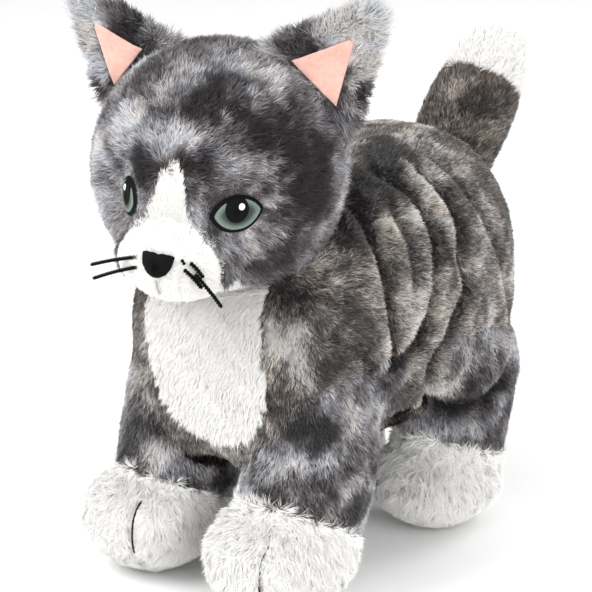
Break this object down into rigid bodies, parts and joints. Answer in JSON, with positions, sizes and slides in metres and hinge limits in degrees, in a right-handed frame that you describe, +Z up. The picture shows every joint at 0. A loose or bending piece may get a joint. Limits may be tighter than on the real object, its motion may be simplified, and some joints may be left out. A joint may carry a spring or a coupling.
{
  "type": "plush cat",
  "caption": "Standing soft toy cat of grey tabby fur fabric over wadding, with white face blaze, bib, paws and tail tip, embroidered face and springy sewn joints.",
  "frame": {"origin": "on the ground under the middle of the bounding box of the whole toy", "axes": "the cat faces -Y, its tail points to +Y, its left side is +X, and +Z is up"},
  "size_m": [0.1448, 0.312, 0.2818],
  "materials": {
    "grey_fur": "mottled grey plush pile",
    "white_fur": "long white plush pile",
    "pink_lining": "smooth short-nap fabric",
    "black_thread": "embroidery thread",
    "iris_thread": "satin-stitch thread",
    "white_thread": "satin-stitch thread",
    "wadding": "loose polyester fibre"
  },
  "bodies": {
    "torso": {"torso_left": "grey_fur", "torso_right": "grey_fur", "belly": "grey_fur", "chest_bib": "white_fur", "torso_wadding": "wadding"},
    "neck": {"neck_wadding": "wadding"},
    "head": {"face_left": "grey_fur", "face_right": "grey_fur", "head_back_left": "grey_fur", "head_back_right": "grey_fur", "blaze_and_muzzle": "white_fur", "head_wadding": "wadding", "nose": "black_thread", "mouth_stitch": "black_thread", "eye_outline_left": "black_thread", "eye_iris_left": "iris_thread", "eye_pupil_left": "black_thread", "eye_glint_left": "white_thread", "eye_outline_right": "black_thread", "eye_iris_right": "iris_thread", "eye_pupil_right": "black_thread", "eye_glint_right": "white_thread", "whisker_upper_left": "black_thread", "whisker_middle_left": "black_thread", "whisker_lower_left": "black_thread", "whisker_upper_right": "black_thread", "whisker_middle_right": "black_thread", "whisker_lower_right": "black_thread"},
    "ear_left": {"ear_left": "grey_fur", "ear_lining_left": "pink_lining"},
    "ear_right": {"ear_right": "grey_fur", "ear_lining_right": "pink_lining"},
    "tail": {"tail_tube": "grey_fur", "tail_tip": "white_fur", "tail_wadding": "wadding"},
    "leg_front_left": {"leg_front_left": "grey_fur", "paw_front_left": "white_fur", "paw_base_front_left": "white_fur", "leg_wadding_front_left": "wadding", "toe_stitch_inner_front_left": "black_thread", "toe_stitch_outer_front_left": "black_thread"},
    "leg_front_right": {"leg_front_right": "grey_fur", "paw_front_right": "white_fur", "paw_base_front_right": "white_fur", "leg_wadding_front_right": "wadding", "toe_stitch_inner_front_right": "black_thread", "toe_stitch_outer_front_right": "black_thread"},
    "leg_hind_left": {"leg_hind_left": "grey_fur", "paw_hind_left": "white_fur", "paw_base_hind_left": "white_fur", "leg_wadding_hind_left": "wadding", "toe_stitch_inner_hind_left": "black_thread", "toe_stitch_outer_hind_left": "black_thread"},
    "leg_hind_right": {"leg_hind_right": "grey_fur", "paw_hind_right": "white_fur", "paw_base_hind_right": "white_fur", "leg_wadding_hind_right": "wadding", "toe_stitch_inner_hind_right": "black_thread", "toe_stitch_outer_hind_right": "black_thread"}
  },
  "joints": [
    {"name": "neck_turn", "type": "hinge", "parent": "torso", "child": "neck", "pos_m": [0.00139, -0.07843, 0.207], "axis": [0, 0, 1], "range_deg": [-30, 13], "stiffness_Nm_per_rad": 0.9},
    {"name": "neck_nod", "type": "hinge", "parent": "neck", "child": "head", "pos_m": [0.00139, -0.07843, 0.207], "axis": [0.9563, 0.2924, 0], "range_deg": [-12, 12], "stiffness_Nm_per_rad": 0.9},
    {"name": "ear_fold_left", "type": "hinge", "parent": "head", "child": "ear_left", "pos_m": [0.03793, -0.05942, 0.24475], "axis": [0.5702, 0.4058, -0.7143], "range_deg": [-18, 18], "stiffness_Nm_per_rad": 0.02},
    {"name": "ear_fold_right", "type": "hinge", "parent": "head", "child": "ear_right", "pos_m": [-0.03953, -0.0831, 0.24475], "axis": [0.6997, -0.0175, 0.7143], "range_deg": [-18, 18], "stiffness_Nm_per_rad": 0.02},
    {"name": "tail_swing", "type": "hinge", "parent": "torso", "child": "tail", "pos_m": [0.00139, 0.09457, 0.168], "axis": [1, 0, 0], "range_deg": [-25, 25], "stiffness_Nm_per_rad": 0.2},
    {"name": "leg_swing_front_left", "type": "hinge", "parent": "torso", "child": "leg_front_left", "pos_m": [0.04139, -0.05843, 0.092], "axis": [1, 0, 0], "range_deg": [-10, 10], "stiffness_Nm_per_rad": 0.7},
    {"name": "leg_swing_front_right", "type": "hinge", "parent": "torso", "child": "leg_front_right", "pos_m": [-0.03861, -0.05843, 0.092], "axis": [1, 0, 0], "range_deg": [-10, 10], "stiffness_Nm_per_rad": 0.7},
    {"name": "leg_swing_hind_left", "type": "hinge", "parent": "torso", "child": "leg_hind_left", "pos_m": [0.04039, 0.05857, 0.082], "axis": [1, 0, 0], "range_deg": [-10, 10], "stiffness_Nm_per_rad": 0.7},
    {"name": "leg_swing_hind_right", "type": "hinge", "parent": "torso", "child": "leg_hind_right", "pos_m": [-0.03761, 0.05857, 0.082], "axis": [1, 0, 0], "range_deg": [-10, 10], "stiffness_Nm_per_rad": 0.7}
  ]
}
